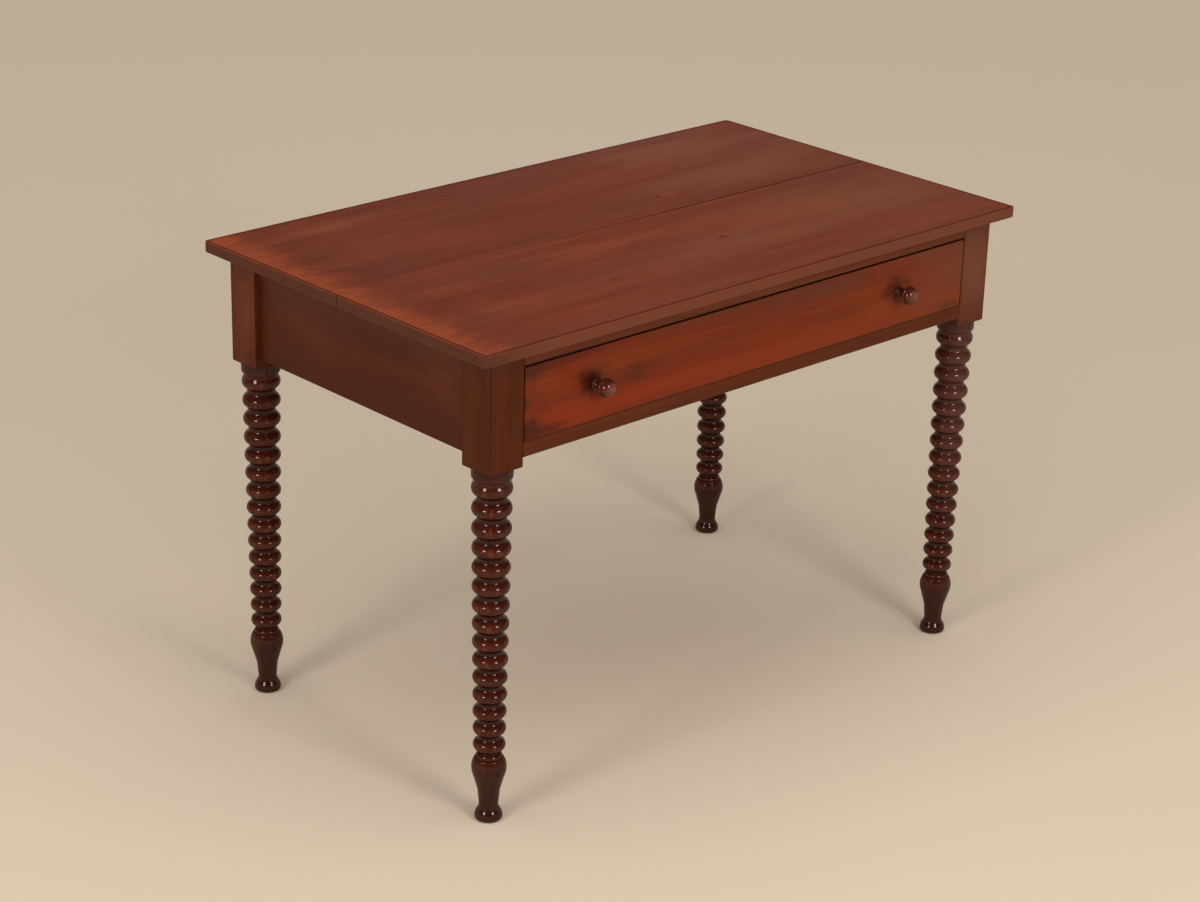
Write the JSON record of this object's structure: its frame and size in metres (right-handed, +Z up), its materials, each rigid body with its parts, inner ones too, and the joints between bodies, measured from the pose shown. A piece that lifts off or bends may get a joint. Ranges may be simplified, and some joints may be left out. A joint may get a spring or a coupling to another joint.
{
  "type": "spool-leg work table",
  "caption": "Country wooden work table on spool-turned legs, with a plain overhanging top and one long dovetailed drawer with turned knobs.",
  "frame": {"origin": "on the floor, under the middle of the closed table's overall box", "axes": "+X to the right along the drawer front, +Y from the drawer front to the back, +Z up"},
  "size_m": [1.092, 0.6516, 0.737],
  "materials": {
    "top_cherry": "old red-brown shellac, satin, worn to orange in places",
    "frame_cherry": "old dark red-brown shellac, satin on the flats and glossy on the turnings",
    "drawer_front_cherry": "old orange-red shellac, satin",
    "knob_cherry": "dark glossy shellac",
    "frame_poplar": "bare, aged brown",
    "drawer_poplar": "bare, aged, smooth from use",
    "iron": "dark, dull"
  },
  "bodies": {
    "table_frame": {"top_front_board": "top_cherry", "top_rear_board": "top_cherry", "leg_front_left": "frame_cherry", "leg_front_right": "frame_cherry", "leg_back_left": "frame_cherry", "leg_back_right": "frame_cherry", "side_apron_left": "frame_cherry", "side_apron_right": "frame_cherry", "back_apron": "frame_cherry", "front_top_rail": "frame_cherry", "front_bottom_rail": "frame_cherry", "drawer_runner_left": "frame_poplar", "drawer_runner_right": "frame_poplar", "drawer_guide_left": "frame_poplar", "drawer_guide_right": "frame_poplar", "drawer_kicker_left": "frame_poplar", "drawer_kicker_right": "frame_poplar", "drawer_stops": "frame_poplar", "top_glue_blocks": "frame_poplar", "top_screws": "iron", "runner_nails": "iron", "guide_nails": "iron"},
    "drawer": {"drawer_front": "drawer_front_cherry", "drawer_side_left": "drawer_poplar", "drawer_side_right": "drawer_poplar", "drawer_back": "drawer_poplar", "drawer_bottom": "drawer_poplar", "drawer_knob_left": "knob_cherry", "drawer_knob_right": "knob_cherry", "drawer_bottom_nails": "iron"}
  },
  "joints": [
    {"name": "drawer_slide", "type": "slide", "parent": "table_frame", "child": "drawer", "axis": [0, -1, 0], "range_m": [0, 0.4]}
  ]
}
